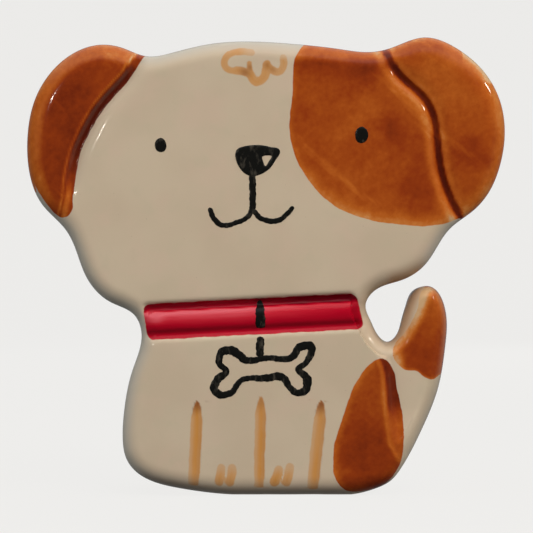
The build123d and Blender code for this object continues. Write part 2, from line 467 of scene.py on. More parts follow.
def stadium(length, width, at, count=20):
    """Outline of a slot with round ends, as X, Y points with their outward directions."""
    r = width / 2
    run = (length - width) / 2
    points, out = [], []
    for end in (1, -1):
        for k in range(count + 1):
            a = -math.pi / 2 + math.pi * k / count
            dx, dy = end * math.cos(a), end * math.sin(a)
            points.append((at + end * run + dx * r, dy * r))
            out.append((dx, dy))
        for k in range(1, 12):
            x = end * run * (1 - 2 * k / 12)
            points.append((at + x, end * r))
            out.append((0, end))
    return np.array(points), np.array(out)


skin_verts, skin_faces = make_skin()
skin = facing_out(new_object("skin", skin_verts, skin_faces))

# The hollow, clockwise from the crown by the right side, the floor and the left side
right_hollow = [
    (-14, 131.5), (8, 131.6), (30, 129.3), (38, 121.5), (45.5, 111), (47.4, 97), (50.2, 85), (43.5, 73),
    (33, 68.5), (26.2, 62), (25.8, 54), (29.4, 40), (32.2, 27), (33, 16), (31.5, 10.5)
]
floor_hollow = [(26, 8), (14, 8), (0, 8), (-14, 8), (-28, 8)]
left_hollow = [
    (-34.6, 10.8), (-36.5, 16), (-37.2, 26), (-35, 38), (-32.6, 50), (-36, 60), (-46.2, 67), (-52.5, 79),
    (-54.2, 92), (-52.6, 102), (-47.6, 113), (-39, 124.5), (-29, 129.4)
]
left_ear_hollow = [(-40, 100), (-62, 92), (-67.6, 107), (-63.5, 122), (-53, 131), (-40, 122)]
right_ear_hollow = [(42, 100), (61.5, 92), (67.9, 110), (62.5, 127), (49.5, 134), (40, 122)]


def cavity(name, points, front, back):
    return slab_body(name, smooth_line(points, 1.5, closed=True), front, back, CAVITY_EDGE, 3.0)


hollow = cavity("hollow", [*right_hollow, *floor_hollow, *left_hollow], CAVITY_FRONT, CAVITY_BACK)
ear_hollows = [cavity("left_hollow", left_ear_hollow, EAR_CAVITY_FRONT, EAR_CAVITY_BACK),
               cavity("right_hollow", right_ear_hollow, EAR_CAVITY_FRONT, EAR_CAVITY_BACK)]

# Coin slot with a softened lip that follows the top of the head
slot_points, slot_out = stadium(SLOT_LENGTH, SLOT_WIDTH, SLOT_X)
crown = outline[outline[:, 1] > 120]
crown = crown[np.argsort(crown[:, 0])]
crown_z = np.interp(slot_points[:, 0], crown[:, 0], crown[:, 1])
slot_rings = [np.column_stack([slot_points, np.full(len(slot_points), 124.0)])]
for rise, flare in ((-7, 0), (-3, 0), (-SLOT_LIP, 0), (-0.75, 0.06), (-0.45, 0.21), (-0.2, 0.47),
                    (-0.05, 0.8), (0.0, SLOT_LIP), (0.3, 1.4), (4, 1.4)):
    slot_rings.append(np.column_stack([slot_points + slot_out * flare, crown_z + rise]))
slot_cutter = column("slot_cutter", slot_rings)

# Recess under the foot, its edge softened, and the stopper's hole
foot_points, foot_out = stadium(RECESS_LENGTH, RECESS_WIDTH, 0.0)
foot_steps = ((-2, 0.8), (0, 0.8), (0.3, 0.25), (0.8, 0), (2.6, 0), (RECESS_DEPTH, -0.4))
foot_cutter = column("foot_cutter", [
    np.column_stack([foot_points + foot_out * flare, np.full(len(foot_points), z)])
    for z, flare in foot_steps])
turn = np.linspace(0, 2 * math.pi, HOLE_SIDES + 1)[:-1]
circle = np.column_stack([np.cos(turn), np.sin(turn)])
hole_steps = ((13.9, 2.0), (13.9, RECESS_DEPTH), (HOLE_RADIUS, 3.4), (HOLE_RADIUS, 12.0))
hole_cutter = column("hole_cutter", [
    np.column_stack([circle * r, np.full(HOLE_SIDES, z)]) for r, z in hole_steps])

# Ear flaps and collar lie in front of the shell
AHEAD = -30
left_zone = np.vstack([ear_left, [(-90, 76), (-90, 150), (-35, 150)]])
right_zone = np.vstack([ear_right, [(90, 81), (90, 150), (34, 150)]])
ear_zones = [slab_body("left_zone", left_zone, AHEAD, EAR_SEAM, 0, 12),
             slab_body("right_zone", right_zone, AHEAD, EAR_SEAM, 0, 12)]
tilt_c, tilt_s = math.cos(COLLAR_TILT), math.sin(COLLAR_TILT)
corners = np.array([(-33.1, -5.6), (33.1, -5.6), (33.1, 5.6), (-33.1, 5.6)])
corners = np.column_stack([corners @ (tilt_c, -tilt_s), corners @ (tilt_s, tilt_c)]) + COLLAR_AT
collar_zone = slab_body("collar_zone", corners, AHEAD, COLLAR_SEAM, 0, 5)

shell = copy_of(skin, "ceramic_shell_glazed")
ear_pieces = []
for zone, name in zip(ear_zones, ("left_ear_glazed", "right_ear_glazed")):
    flap = copy_of(skin, name)
    carve(flap, zone, "INTERSECT")
    carve(shell, zone)
    ear_pieces.append(flap)
collar = copy_of(skin, "collar_glazed")
carve(collar, collar_zone, "INTERSECT")
carve(shell, collar_zone)
cutters = (hollow, *ear_hollows, slot_cutter, foot_cutter, hole_cutter)
for tool in cutters:
    carve(shell, tool)
skin_tree = BVHTree.FromPolygons([tuple(v) for v in skin_verts], [tuple(map(int, f)) for f in skin_faces])
for tool in (skin, *cutters, *ear_zones, collar_zone):
    bpy.data.objects.remove(tool)
ceramic = [shell, *ear_pieces, collar]
for piece in ceramic:
    piece.data.shade_smooth()
    piece.data.set_sharp_from_angle(angle=math.radians(38))

# ------------------------ paint, as signed distances in mm

# How far back the brown laps round the edge of the slab
LAP = -15.2

eye_patch = [
    (11.4, 137.4), (9.2, 134.3), (8.3, 128.5), (8, 121), (7.1, 113.5), (7.6, 108.3), (10.1, 100.9),
    (15.6, 92.9), (23.4, 86.9), (31.2, 84.1), (41.7, 82.5), (49.6, 82.2), (54.6, 83), (59, 84.6)
]
eye_patch_end = [(80, 80), (80, 150), (11.5, 150)]
left_ear_paint = [
    (-36.9, 134.6), (-41.4, 127.4), (-47.7, 120.3), (-51.5, 115.1), (-54.3, 109.8), (-56.4, 105.2),
    (-57.6, 100.9), (-58.3, 96), (-58.9, 89), (-59.6, 85.9), (-62, 84.8), (-64.6, 86.2), (-67.6, 89.6),
    (-70.8, 95), (-72.6, 100), (-73.4, 105)
]
left_ear_paint_end = [(-80, 106), (-80, 150), (-38, 150)]
haunch_paint = [
    (35.5, 41.9), (33.1, 41.2), (31.2, 39.7), (27.6, 34.8), (24.8, 28.3), (23, 22.5), (21.2, 17),
    (20.4, 11.2), (20.6, 6.9), (22.4, 3), (26, 1.2), (32, 1.6), (36.5, 3.6), (39.5, 6.6), (41.5, 12),
    (42, 19.5), (41.1, 27.1), (39.8, 33.5), (38.3, 39.4)
]
tail_paint = [
    (49.6, 64.4), (48, 62.8), (46.9, 60.4), (46.3, 57.4), (44.9, 54), (43.2, 50.6), (40.9, 47.6),
    (39, 45.2), (38.9, 42.5), (40.2, 40.1), (43.2, 38.1), (45.6, 38), (48.1, 36.2), (51.2, 35.2),
    (53.2, 36.4)
]
tail_paint_end = [(60, 40), (60, 66), (52, 66)]

# Tuft of hair in thin orange wash: each stroke and its width, then its dark spots as place, size and weight
tuft = [
    ([(-4.4, 135.1), (-8, 135.2), (-11.4, 134.2), (-12.7, 131.9), (-11.6, 129.8), (-9, 129.4)], 2.3),
    ([(-9, 129.6), (-6.6, 129.2), (-4.8, 128.2), (-3.4, 126.2), (-1.4, 126.6), (-0.1, 128.6),
      (0.3, 131.4)], 2.6),
    ([(0.2, 131.2), (1.6, 129.9), (4.2, 129.2), (5.2, 130.6), (5.2, 133.4)], 2.3),
    ([(-5.1, 131.8), (-5, 130.2), (-4.6, 128.4)], 1.6),
]
tuft_dark = [((-5, 130.4), 1.2, 0.6), ((-6.4, 128.9), 1.7, 0.65),
             ((0.3, 131.1), 1.2, 0.5), ((2, 129.9), 1.2, 0.4)]

# Legs as top, foot, half width and darkness of the tip, and toes as top, foot and width
legs = [((-20.9, 28.8), (-22.1, 3.2), 1.85, 1), ((-1.5, 30), (-2.2, 2.4), 1.65, 0.45),
        ((16.9, 28.8), (14.2, 2.2), 1.9, 1)]
toes = [((-13.6, 8.3), (-14.3, 4.2), 2.9), ((-10.4, 8.3), (-11.1, 4.2), 2.9), ((3.9, 7.8), (2.6, 4.2), 3.1),
        ((7.3, 8.5), (6.2, 4.2), 3)]

# Uneven places in the brown: where, how large, and darker (negative) or thinner (positive)
blots = [((29.7, 128.5), 4.5, -0.45), ((38.6, 111.7), 4, -0.5), ((45.3, 91.8), 6, -0.5),
         ((62.5, 103.1), 5.5, -0.45), ((24, 103), 9, 0.15), ((58, 122), 7, 0.15),
         ((-58, 124), 7, -0.15)]


def closed_patch(open_points, corners):
    """A patch with a smooth edge on the front, closed through corners outside the object."""
    return np.vstack([smooth_line(open_points, 1.0), np.array(corners, float)])


patches = [
    closed_patch(eye_patch, eye_patch_end),
    closed_patch(left_ear_paint, left_ear_paint_end),
    smooth_line(haunch_paint, 1.0, closed=True),
    closed_patch(tail_paint, tail_paint_end),
]


def sunk(co):
    """How far each vertex lies under the outer skin, in mm."""
    return np.array([skin_tree.find_nearest(Vector(v))[3] for v in co])


def spot(p, at, size):
    """Soft round mark of the given radius."""
    return np.exp(-((p - np.array(at)) ** 2).sum(1) / size ** 2)


def ridge(x, at, width):
    """Soft band of the given half width."""
    return np.exp(-((x - at) / width) ** 2)


def stroke_paint(p, front):
    """Signed distance inside the thin orange brush marks, and how dark and how pale they are."""
    wash = np.full(len(p), -20.0)
    dark = np.zeros(len(p))
    pale = np.zeros(len(p))

    def close(points, reach):
        points = np.array(points)
        return front & ((p > points.min(0) - reach) & (p < points.max(0) + reach)).all(1)

    for points, width in tuft:
        line = smooth_line(points, 0.6)
        near = close(line, 5)
        d, _ = distance(p[near], line)
        wash[near] = np.maximum(wash[near], width / 2 - d)
        faint = 0.15 + 0.6 * step(p[near, 0], -9, -5) * step(p[near, 1], 132.6, 133.6)
        pale[near] = np.maximum(pale[near], faint * step(width / 2 + 0.5 - d, 0, 0.3))
    for at, size, weight in tuft_dark:
        dark = np.maximum(dark, weight * spot(p, at, size) * step(wash, -0.1, 0.3) * front)
    for top, foot, half, tip in legs:
        a = np.array(top)
        run = np.array(foot) - a
        near = close([top, foot], 5)
        q = p[near] - a
        t = (q @ run) / (run @ run)
        across = q[:, 0] * run[1] - q[:, 1] * run[0]
        off = np.abs(across) / np.hypot(*run)
        width = half * np.clip(t / 0.2, 0, 1) ** 0.45 * (1 - 0.12 * step(t, 0.8, 1.0))
        value = np.where((t > 0) & (t < 1.0), width - off, -np.maximum(-t, t - 1) * 20)
        wash[near] = np.maximum(wash[near], value)
        lean = np.sign(across) * -off / half
        shade = np.maximum(tip * (1 - step(t, 0.02, 0.2)), 0.22 * step(lean, 0.1, 0.9))
        dark[near] = np.maximum(dark[near], shade * step(value, -0.1, 0.2))
        light = (0.05 + 0.4 * step(-lean, -0.2, 1.0)) * step(t, 0.06, 0.25) + 0.25 * step(t, 0.85, 1.0)
        pale[near] = np.maximum(pale[near], light * step(value, -0.6, -0.2))
    for top, foot, width in toes:
        line = smooth_line([top, np.array([top, foot]).mean(0) + (0.15, 0), foot], 0.5)
        near = close(line, 5)
        d, _ = distance(p[near], line)
        wash[near] = np.maximum(wash[near], width / 2 - d)
        light = 0.1 + 0.5 * step(p[near, 1], 5.5, 9)
        pale[near] = np.maximum(pale[near], step(width / 2 + 0.5 - d, 0, 0.3) * light)
    return wash, dark, pale


def brown_tone(p, left, right, edge, areas):
    """How dark (negative) or light (positive) the brown is on the ears, eye patch, haunch and tail: thin
    paint, and painted shade and highlights.
    """
    x, z = p.T
    behind = tail_side(p)
    eye = areas[0] * (right < 0.5)
    low_eye = step(105 - z + 0.4 * x, 0, 20)
    upper = step(z, 91, 121)
    tip = 1 - step(z, 91, 99)
    # Left ear: darker down the upper groove, partly pooled glaze and partly painted shade; lighter along its
    # top edge
    tone_left = -0.4 + 0.72 * (1 - step(edge, 3.2, 5.6)) * step(z, 82, 96) + 0.22 * (1 - step(z, 86, 100)) \
        - 0.8 * (1 - step(left, 1.9, 2.4)) * upper + 0.75 * ridge(left, 2.8, 0.38) \
        + 0.75 * tip * step(left, -0.5, 0.6) * (1 - step(left, 1.4, 2.2)) \
        + 0.2 * (1 - step(edge, 0.3, 2.0)) * (z > 120)
    # Right ear: darker in the groove, partly pooled glaze and partly painted shade; lighter along its right
    # and top edges
    tone_right = 0.14 + 0.46 * (1 - step(edge, 1.2, 4.8)) * (x > 60) \
        - 1.2 * (1 - step(np.abs(right - 0.35), 0.85, 1.35)) + 0.25 * ridge(right, 2.4, 0.9) \
        + 0.55 * (1 - step(edge, 0.3, 2.6)) * (z > 126)
    # Eye patch: a painted highlight band along the head side of the right ear's groove, and painted shade
    # down into the groove
    tone_eye = 0.02 + 0.4 * (1 - step(eye, 0.8, 4.5)) * low_eye + 0.2 * (1 - step(eye, 0.4, 2.0)) \
        - 0.28 * step(z, 126, 131) + 0.62 * step(z, 131.6, 134.4) + 0.5 * ridge(right, -2.2, 1.3) \
        - 0.7 * step(right, -0.9, -0.3)
    # Haunch: a painted highlight along the ridge of the body's edge, and darker on the step wall down to the
    # tail, partly pooled glaze and partly painted shade; darker towards the bottom
    wall = step(behind, -0.5, 0.1) * step(z, 23, 30)
    tone_haunch = -0.6 * spot(p, (29.5, 14), 10) + 0.42 * (1 - step(areas[2], 0.3, 2.6)) * (x < 33) \
        - 0.3 * step(7.5 - z, 0, 4) + 0.55 * ridge(behind, -1.2, 0.7) - 0.85 * wall \
        + 0.3 * (1 - step(z, 20, 28)) * step(behind, -2, 0)
    soft_side = step(-0.85 * (x - 46) + 0.5 * (z - 52), -4.0, -1.0)
    # Tail: a painted rim reflection along its right edge
    tone_tail = -0.15 + 1.15 * (1 - step(areas[3], 0.8, 4.0)) * soft_side \
        + 0.5 * (1 - step(areas[3], 0.2, 0.9)) * (1 - soft_side) + 0.35 * step(z, 50, 60) \
        - 0.3 * spot(p, (48.5, 42.5), 6) + 0.3 * (1 - step(edge, 0.4, 2.6)) * step(x, 50, 52)
    on_tail = areas[3] > np.maximum(areas[2], -3)
    tone = np.select([left > -0.8, right > -0.3, on_tail, areas[2] > -3],
                     [tone_left, tone_right, tone_tail, tone_haunch],
                     tone_eye)
    for at, size, weight in blots:
        tone = tone + weight * spot(p, at, size)
    return tone


def paint_fields(co):
    """Signed distances to the painted areas at each vertex of a ceramic piece, the tone of the paint with its
    painted shade and highlights, and the painted light and shade on the cream.
    """
    p = co[:, [0, 2]]
    x, y, z = co.T
    front = y < -10
    areas = []
    for loop in patches:
        value = np.full(len(p), -20.0)
        near = ((p > loop.min(0) - 6) & (p < loop.max(0) + 6)).all(1)
        value[near] = depth_in(p[near], loop)
        areas.append(value)
    left, right = ear_sides(p)
    wrap = LAP + 0.9 * np.sin(x * 0.34) + 0.6 * np.sin(x * 0.9 + z * 0.5) - y
    brown = np.minimum(np.maximum.reduce(areas), wrap)
    left_side = np.minimum(left, z - 93 + 0.8 * np.sin(y * 0.5))
    around = np.maximum(np.maximum(left_side, right), areas[3])
    brown = np.where(y > -21, np.maximum(brown, around), brown)
    edge = distance(p, outline, closed=True)[0]
    aside = step(y, -20, -12)
    tone = brown_tone(p, left, right, edge, areas) * (1 - aside) + 0.05 * aside
    wash, dark, pale = stroke_paint(p, front)

    u, v = collar_uv(p)
    half = COLLAR_LENGTH / 2
    ends = np.minimum(half + 0.1 - 0.2 * (v + 1.5) - u, half - 0.3 + 0.08 * v + u)
    sides = np.minimum(5.5 - v, v + 5.5)
    corner = np.hypot(np.minimum(ends - 2.0, 0), np.minimum(sides - 2.0, 0))
    red = np.where(front, np.minimum(np.minimum(sides, ends), 2.0 - corner), -20)
    to_left = 1 - step(u, -12, 20)
    # Collar tone with painted light: a painted sheen on the bar's upper half and a painted highlight band
    # along its top, both stronger towards the left, painted shade on the wall under the chin and in the
    # valley below the bar, and a painted sheen at the left end
    collar_tone_painted_light = -0.07 + (0.1 + 0.5 * to_left) * step(v, -2.0, 0.8) \
        + (0.35 + 0.25 * to_left) * ridge(v, 2.5, 0.6) - 1.15 * step(v, 2.8, 3.1) \
        - 0.6 * ridge(v, -3.1, 0.8) + 0.5 * spot(p, (-33.5, 54.5), 2.2)
    tone = np.where(red > -1, collar_tone_painted_light, tone)

    # Painted shade by the foot, greyer cream along the edges as painted cool light, and warmer cream on the
    # inner side of the tail as painted bounce light and shade
    low = (1 - step(edge, 1.2, 3.8)) * (1 - step(z, 3.5, 9)) * (1 - step(y, -20.6, -19))
    by_tail = step(x, 20, 30) * (1 - step(z, 66, 76))
    painted_cool_edge_light = (1 - step(edge, 0.3, 4.2)) * (1 - by_tail) * (1 - step(y, -20, -6))
    painted_cool_edge_light = np.where((z < 0.3) & (y > -19), 0, painted_cool_edge_light)
    painted_tail_bounce_shade = (1 - step(edge, 0.5, 4.5)) * by_tail * step(x, 36, 39) * (1 - step(x, 46, 50)) * step(z, 44, 48)
    painted_tail_bounce_shade = painted_tail_bounce_shade * (1 - 0.5 * step(y, -10, 5))
    foot = np.where(z < 0.5, 1.0, 0.0)
    return {"brown": brown, "tone": tone, "wash": wash, "dark": dark, "pale": pale, "red": red,
            "low": low, "painted_cool_edge_light": painted_cool_edge_light, "painted_tail_bounce_shade": painted_tail_bounce_shade, "sunk": sunk(co), "foot": foot}


# Every field is stored on the vertices, for the glaze to read
for piece in ceramic:
    co = np.empty(len(piece.data.vertices) * 3)
    piece.data.vertices.foreach_get("co", co)
    for name, values in paint_fields(co.reshape(-1, 3) / MM).items():
        attribute = piece.data.attributes.new(name, "FLOAT", "POINT")
        attribute.data.foreach_set("value", values.astype(np.float32))

# ------------------------ materials


def srgb(r, g, b):
    """A colour given in 0 to 255 steps, as linear RGBA."""
    linear = [c / 255 / 12.92 if c <= 10 else ((c / 255 + 0.055) / 1.055) ** 2.4 for c in (r, g, b)]
    return (*linear, 1.0)


class Nodes:
    """Adds nodes and joins them."""

    def __init__(self, name):
        self.material = bpy.data.materials.new(name)
        self.material.use_nodes = True
        self.tree = self.material.node_tree
        self.tree.nodes.clear()
        self.shader = self.tree.nodes.new("ShaderNodeBsdfPrincipled")
        self.out = self.tree.nodes.new("ShaderNodeOutputMaterial")
        self.tree.links.new(self.shader.outputs[0], self.out.inputs[0])

    def put(self, socket, value):
        if isinstance(value, bpy.types.NodeSocket):
            self.tree.links.new(value, socket)
        elif value is not None:
            socket.default_value = value

    def node(self, kind, **values):
        """A new node with the named inputs set or joined."""
        n = self.tree.nodes.new("ShaderNode" + kind)
        for name, value in values.items():
            self.put(n.inputs[name.replace("_", " ")], value)
        return n

    def made(self, **values):
        """Set or join the shader's named inputs, and give back the material."""
        for name, value in values.items():
            self.put(self.shader.inputs[name.replace("_", " ")], value)
        return self.material

    def math(self, op, a, b):
        n = self.node("Math")
        n.operation = op
        self.put(n.inputs[0], a)
        self.put(n.inputs[1], b)
        return n.outputs[0]

    def plus(self, a, b, factor):
        return self.math("ADD", a, self.math("MULTIPLY", b, factor))

    def ramp(self, value, low, high):
        n = self.node("MapRange", Value=value, From_Min=low, From_Max=high)
        n.interpolation_type = "SMOOTHSTEP"
        return n.outputs[0]

    def noise(self, scale, detail=3.0, rough=0.5, stretch=(1, 1, 1), shift=(0, 0, 0), turn=(0, 0, 0)):
        turned = self.node("Mapping", Vector=self.node("TexCoord").outputs["Object"], Rotation=turn)
        placed = self.node("Mapping", Vector=turned.outputs[0], Scale=stretch, Location=shift)
        n = self.node("TexNoise", Vector=placed.outputs[0], Scale=scale, Detail=detail, Roughness=rough)
        return n.outputs["Fac"]

    def ripple(self, *args, **settings):
        """Noise around zero."""
        return self.math("SUBTRACT", self.noise(*args, **settings), 0.5)

    def field(self, name):
        n = self.node("Attribute")
        n.attribute_name = name
        return n.outputs["Fac"]

    def mix(self, factor, a, b, blend="MIX"):
        n = self.node("Mix")
        n.data_type = "RGBA"
        n.blend_type = blend
        for socket, value in ((0, factor), (6, a), (7, b)):
            self.put(n.inputs[socket], value)
        return n.outputs[2]

    def tint(self, share, strength, a, b, blend="MIX"):
        """Mix b into a by share times strength."""
        return self.mix(self.math("MULTIPLY", share, strength), a, b, blend)

    def scale_of_colours(self, value, low, high, stops):
        n = self.node("ValToRGB")
        while len(n.color_ramp.elements) < len(stops):
            n.color_ramp.elements.new(0.5)
        for element, (at, colour) in zip(n.color_ramp.elements, stops):
            element.position = at
            element.color = srgb(*colour)
        self.put(n.inputs[0], self.math("DIVIDE", self.math("SUBTRACT", value, low), high - low))
        return n.outputs[0]

    def bump(self, height, distance, strength, normal=None):
        n = self.node("Bump", Height=height, Distance=distance, Strength=strength, Normal=normal)
        return n.outputs[0]


CREAM_A, CREAM_B = (209, 191, 166), (214, 197, 172)
# Painted light and shade: a greyer cream for the edges, a warm cream by the tail and a darker shade for the
# foot
CREAM_PINK, CREAM_GREEN, COOL_EDGE_LIGHT_PAINT = (217, 193, 171), (204, 192, 165), (194, 190, 180)
TAIL_BOUNCE_SHADE_PAINT, SPECK, FOOT_SHADE = (198, 152, 112), (120, 96, 74), (184, 166, 152)
BROWNS = [(0, (92, 28, 12)), (0.2, (124, 44, 15)), (0.4, (156, 62, 18)), (0.52, (174, 80, 23)),
          (0.68, (196, 102, 34)), (0.84, (212, 134, 66)), (1, (216, 178, 134))]
WASH, WASH_TIP = (211, 147, 73), (120, 52, 20)
REDS = [(0, (112, 0, 20)), (0.3, (168, 4, 32)), (0.5, (192, 6, 38)), (0.7, (208, 38, 56)),
        (1, (228, 96, 108))]
CLAY_A, CLAY_B = (206, 190, 170), (196, 178, 156)
GLAZE_ROUGHNESS, CLAY_ROUGHNESS = 0.1, 0.8


def glaze(name):
    """Painted and glazed earthenware, with bare clay inside and under the foot."""
    n = Nodes(name)
    cream = n.mix(n.ramp(n.noise(38, 2), 0.35, 0.65), srgb(*CREAM_A), srgb(*CREAM_B))
    cream = n.tint(n.ramp(n.noise(90, 3, shift=(3, 1, 2)), 0.45, 0.75), 0.5, cream, srgb(*CREAM_PINK))
    cream = n.tint(n.ramp(n.noise(120, 3, shift=(7, 5, 2)), 0.5, 0.8), 0.5, cream, srgb(*CREAM_GREEN))
    cream = n.tint(n.ramp(n.noise(1300, 2, 0.6), 0.73, 0.78), 0.35, cream, srgb(*SPECK))
    # Greyer cream along the edges, painted in as cool light
    cream = n.tint(n.field("painted_cool_edge_light"), 0.7, cream, srgb(*COOL_EDGE_LIGHT_PAINT))
    # Warmer cream on the inner side of the tail, painted bounce light and shade
    cream = n.tint(n.field("painted_tail_bounce_shade"), 0.7, cream, srgb(*TAIL_BOUNCE_SHADE_PAINT))

    brown_edge = n.plus(n.field("brown"), n.ripple(160, 3, 0.6), 1.1)
    swipe = n.noise(85, 3, 0.6, stretch=(0.3, 1, 1.5), turn=(0, -0.75, 0), shift=(0.3, 0, 0.1))
    # The tone holds the paint's own unevenness and the painted shade and highlights of the ears, patches,
    # haunch and tail
    tone = n.plus(n.field("tone"), n.ripple(42, 3, 0.55, shift=(1, 4, 9)), 1.2)
    tone = n.plus(tone, n.ripple(260, 4, 0.62, stretch=(0.7, 1, 1), turn=(0, 0.7, 0)), 0.65)
    tone = n.plus(tone, n.ripple(620, 2, 0.6), 0.5)
    tone = n.plus(tone, n.ramp(swipe, 0.6, 0.72), 0.36)
    brown = n.scale_of_colours(tone, -1.2, 1.2, BROWNS)

    wash_edge = n.plus(n.field("wash"), n.ripple(260, 3, 0.6), 0.9)
    wash = n.plus(0.6, n.noise(150, 3, 0.6, stretch=(1, 1, 0.3)), 0.5)
    wash = n.plus(wash, n.ramp(wash_edge, 0.6, 1.5), 0.12)
    wash = n.math("MULTIPLY", wash, n.math("SUBTRACT", 1.0, n.math("MULTIPLY", n.field("pale"), 0.7)))
    color = n.tint(n.ramp(wash_edge, -0.2, 0.35), wash, cream, srgb(*WASH))
    color = n.tint(n.field("dark"), 0.75, color, srgb(*WASH_TIP))

    red_edge = n.plus(n.field("red"), n.ripple(300, 2), 0.7)
    # The collar's tone carries its painted sheen, highlight band and shade
    red_tone = n.plus(n.field("tone"), n.ripple(150, 4, 0.65, stretch=(0.14, 1, 1)), 0.9)
    red = n.scale_of_colours(red_tone, -1.0, 1.0, REDS)

    color = n.mix(n.ramp(brown_edge, -0.12, 0.12), color, brown)
    color = n.mix(n.ramp(red_edge, -0.15, 0.15), color, red)
    # Painted shade along the foot's edge
    color = n.tint(n.field("low"), 0.6, color, srgb(*FOOT_SHADE), "MULTIPLY")
    clay = n.mix(n.ramp(n.noise(240, 3), 0.3, 0.7), srgb(*CLAY_A), srgb(*CLAY_B))
    bare = n.math("MAXIMUM", n.ramp(n.field("sunk"), 2.2, 3.0), n.field("foot"))
    roughness = n.plus(GLAZE_ROUGHNESS, bare, CLAY_ROUGHNESS - GLAZE_ROUGHNESS)
    broad = n.bump(n.noise(55, 2, 0.5), 0.0004, 0.35)
    fine = n.bump(n.noise(420, 2, 0.5), 0.00008, 0.3, broad)
    return n.made(Base_Color=n.mix(bare, color, clay), Roughness=roughness, Normal=fine)


painted = glaze("painted_glaze")
for piece, node, slot in zip(ceramic, ("ceramic_shell", "left_ear", "right_ear", "collar"),
                             ("cream_glaze", "brown_glaze", "brown_glaze", "red_glaze")):
    piece.data.materials.clear()
    piece.data.materials.append(painted)
    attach(piece, "bank")
    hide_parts(node)

# ------------------------ enamel drawing

INK_STEP = 0.25
INK_LIFT = 0.015
INK_ROOT = 0.1

ink = Nodes("black_enamel")
streak = ink.ramp(ink.noise(560, 4, 0.65, stretch=(1, 1, 0.45), shift=(0.7, 0, 0.3)), 0.52, 0.74)
ink.made(Base_Color=ink.tint(streak, 0.5, srgb(22, 22, 20), srgb(98, 92, 82)), Roughness=0.24,
         Specular_IOR_Level=0.35, Normal=ink.bump(ink.noise(300, 2), 0.00008, 0.4))


def ribbon(points, widths, closed=False, seed=0.0, rise=0.16):
    """A brush stroke as a low crowned ribbon on the front surface."""
    line = smooth_line(points, INK_STEP, closed)
    m = len(line)
    if closed:
        _, across = directions(line)
    else:
        along = np.gradient(line, axis=0)
        along /= np.hypot(*along.T)[:, None]
        across = np.stack([-along[:, 1], along[:, 0]], 1)
    s = np.arange(m) * INK_STEP
    to_end = np.minimum(s, s[-1] - s)
    half = np.interp(np.linspace(0, 1, m), np.linspace(0, 1, len(widths)), widths) / 2
    wobble = [0.07 * np.sin(s * 1.9 + seed + k) + 0.05 * np.sin(s * 4.3 + 2 * seed + 3 * k) for k in (0, 2)]
    if closed:
        end = np.ones(m)
        wobble = [w * np.minimum(1, to_end / 2) for w in wobble]
    else:
        end = np.sqrt(np.clip(1 - (1 - np.clip(to_end / (half[0] * 0.9), 0, 1)) ** 2, 0.0025, 1))
    rows = []
    for u in np.linspace(-1, 1, 9):
        shift = wobble[0] if u < 0 else wobble[1]
        at = line + across * ((half * (1 + shift)) * end * u)[:, None]
        y = front_y(at) - INK_LIFT - rise * math.sqrt(max(0, 1 - u * u)) * end
        rows.append(np.stack([at[:, 0], y, at[:, 1]], 1))
    return backed(np.vstack(rows), strips(len(rows), m, m if closed else m - 1))


def backed(verts, faces):
    """Close a thin layer with a copy of its faces just under the ceramic surface."""
    count = {}
    for f in faces:
        for a, b in zip(f, (*f[1:], f[0])):
            count[(a, b)] = count.get((a, b), 0) + 1
    n = len(verts)
    under = verts.copy()
    under[:, 1] = front_y(verts[:, [0, 2]]) + INK_ROOT
    walls = [(b, a, a + n, b + n) for (a, b) in count if (b, a) not in count]
    inside_faces = [tuple(i + n for i in reversed(f)) for f in faces]
    return np.vstack([verts, under]), [*faces, *inside_faces, *walls]


def spot_of_ink(points, rise, holes=()):
    """A filled enamel spot with a rounded edge, and any unpainted places left in it."""
    loop = smooth_line(points, 0.3, closed=True)
    holes = [smooth_line(h, 0.3, closed=True) for h in holes]
    xz, _, _, t = filled(loop, 0.35, holes)
    near = np.min([distance(xz, rim, closed=True)[0] for rim in (loop, *holes)], axis=0)
    crown = np.sqrt(1 - (1 - np.clip(near / 0.7, 0, 1)) ** 2)
    verts = np.column_stack([xz[:, 0], front_y(xz) - INK_LIFT - rise * crown, xz[:, 1]])
    return backed(verts, [tuple(map(int, f)) for f in t])


def ink_piece(name, parts, node):
    """One enamel piece made of the given strokes and spots."""
    verts, faces = [], []
    for v, f in parts:
        start = sum(len(w) for w in verts)
        verts.append(v)
        faces += [tuple(i + start for i in face) for face in f]
    obj = facing_out(new_object(name, np.vstack(verts), faces))
    obj.data.set_sharp_from_angle(angle=math.radians(60))
    obj.data.materials.append(ink.material)
    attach(obj, "bank")
    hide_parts(node)


left_eye = [
    (-33.9, 106.6), (-33.3, 108.4), (-31.9, 109), (-30.6, 107.8), (-30.4, 105.9), (-31.4, 104.7),
    (-33.1, 105)
]
right_eye = [
    (27.2, 109.2), (27.6, 111.5), (29.3, 112.4), (30.9, 111.1), (30.9, 108.7), (29.4, 107.4), (27.8, 107.8)
]
nose_outline = [
    (-9, 105.3), (-7.2, 106.3), (-3.9, 106.8), (-0.8, 106.7), (2.2, 106.1), (3.8, 105.7), (4.25, 105.1),
    (3.3, 102.7), (1.2, 99.7), (-1.3, 98), (-4.4, 97.3), (-6.7, 98.3), (-8.4, 100.4), (-9.3, 103)
]
nose_light = [(-1.1, 103.2), (0.3, 103.6), (1.7, 103.4), (0.9, 101.9), (-0.2, 100.4), (-0.8, 101.7)]
ink_piece("left_eye_enamel", [spot_of_ink(left_eye, 0.2)], "left_eye")
ink_piece("right_eye_enamel", [spot_of_ink(right_eye, 0.2)], "right_eye")
ink_piece("nose_enamel", [spot_of_ink(nose_outline, 0.22, [nose_light])], "nose")
lip_left = [(-4.2, 87.6), (-5.4, 85.1), (-9.2, 83.1), (-13.4, 82.4), (-15.4, 83.8), (-17.2, 87.8)]
